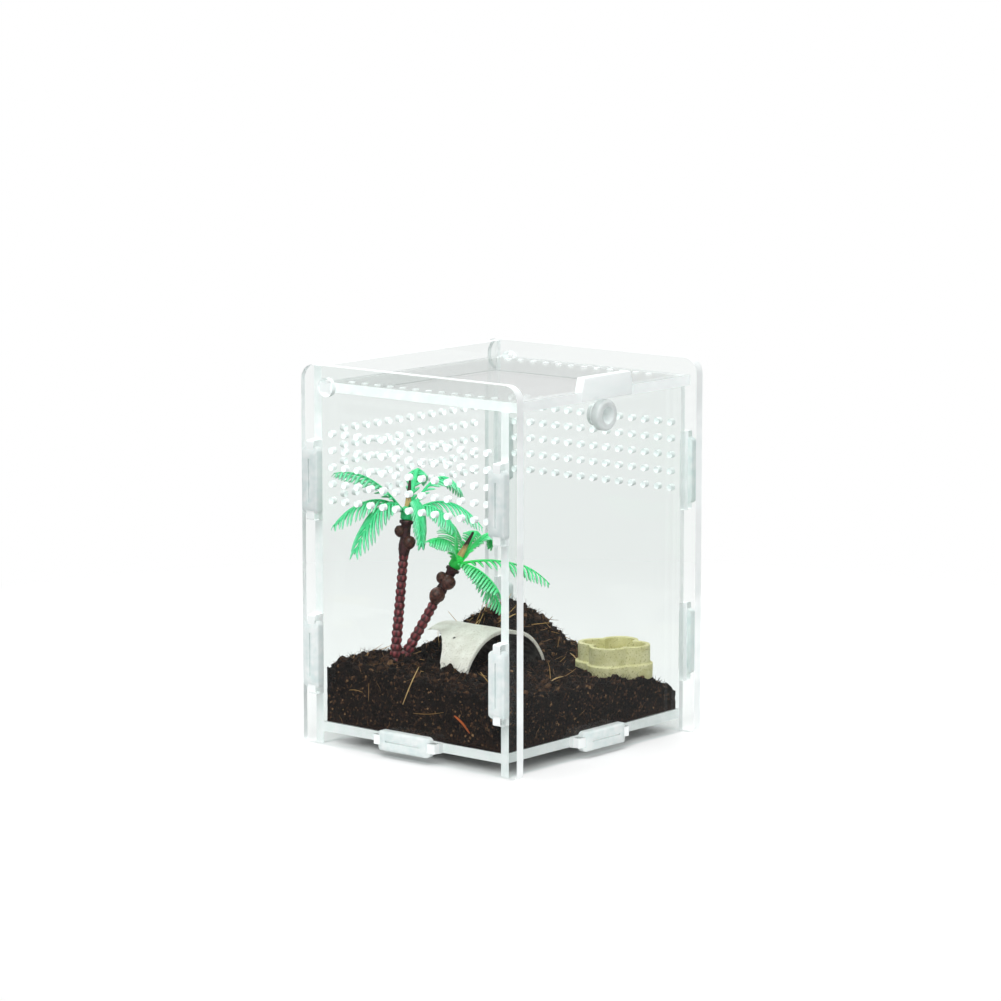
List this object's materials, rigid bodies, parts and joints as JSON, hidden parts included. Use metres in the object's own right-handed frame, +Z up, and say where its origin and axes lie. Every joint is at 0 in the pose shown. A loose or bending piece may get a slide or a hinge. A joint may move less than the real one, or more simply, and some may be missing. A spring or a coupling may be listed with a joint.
{
  "type": "acrylic pet keeper",
  "caption": "Clear acrylic pet keeper for a spider or small gecko: slotted panels held by snap clips, vented hinged lid, feeding hole stopper, and soil, palm, hide and dish inside.",
  "frame": {"origin": "on the table under the middle of the case", "axes": "+X towards the right side panel, +Y towards the back panel, +Z up"},
  "size_m": [0.089, 0.08, 0.11],
  "materials": {
    "clear_acrylic": "clear polished sheet with frosted cut edges",
    "frosted_acrylic": "milky clear",
    "clip_nylon": "milky translucent, satin",
    "clear_silicone": "clear, soft",
    "coir_soil": "loose coconut fibre and soil",
    "palm_brown": "moulded, satin",
    "palm_green": "moulded, satin",
    "hide_resin": "fine stone grain",
    "dish_resin": "fine stone grain"
  },
  "bodies": {
    "case": {"left_side_panel": "clear_acrylic", "right_side_panel": "clear_acrylic", "front_panel": "clear_acrylic", "back_panel": "clear_acrylic", "floor_panel": "clear_acrylic", "left_front_upper_clip": "clip_nylon", "left_front_lower_clip": "clip_nylon", "left_back_upper_clip": "clip_nylon", "left_back_lower_clip": "clip_nylon", "right_front_upper_clip": "clip_nylon", "right_front_lower_clip": "clip_nylon", "right_back_upper_clip": "clip_nylon", "right_back_lower_clip": "clip_nylon", "floor_left_clip": "clip_nylon", "floor_right_clip": "clip_nylon", "floor_front_clip": "clip_nylon", "floor_back_clip": "clip_nylon", "soil_bed": "coir_soil", "twin_palm_trunks": "palm_brown", "tall_palm_crown": "palm_green", "short_palm_crown": "palm_green", "arched_hide": "hide_resin", "water_dish": "dish_resin"},
    "lid": {"lid_panel": "clear_acrylic", "lid_pull": "frosted_acrylic"},
    "stopper": {"feeding_stopper": "clear_silicone"}
  },
  "joints": [
    {"name": "lid_hinge", "type": "hinge", "parent": "case", "child": "lid", "pos_m": [0, 0.0308, 0.1038], "axis": [-1, 0, 0], "range_deg": [0, 98]},
    {"name": "stopper_slide", "type": "slide", "parent": "case", "child": "stopper", "axis": [0, -1, 0], "range_m": [0, 0.008]}
  ]
}
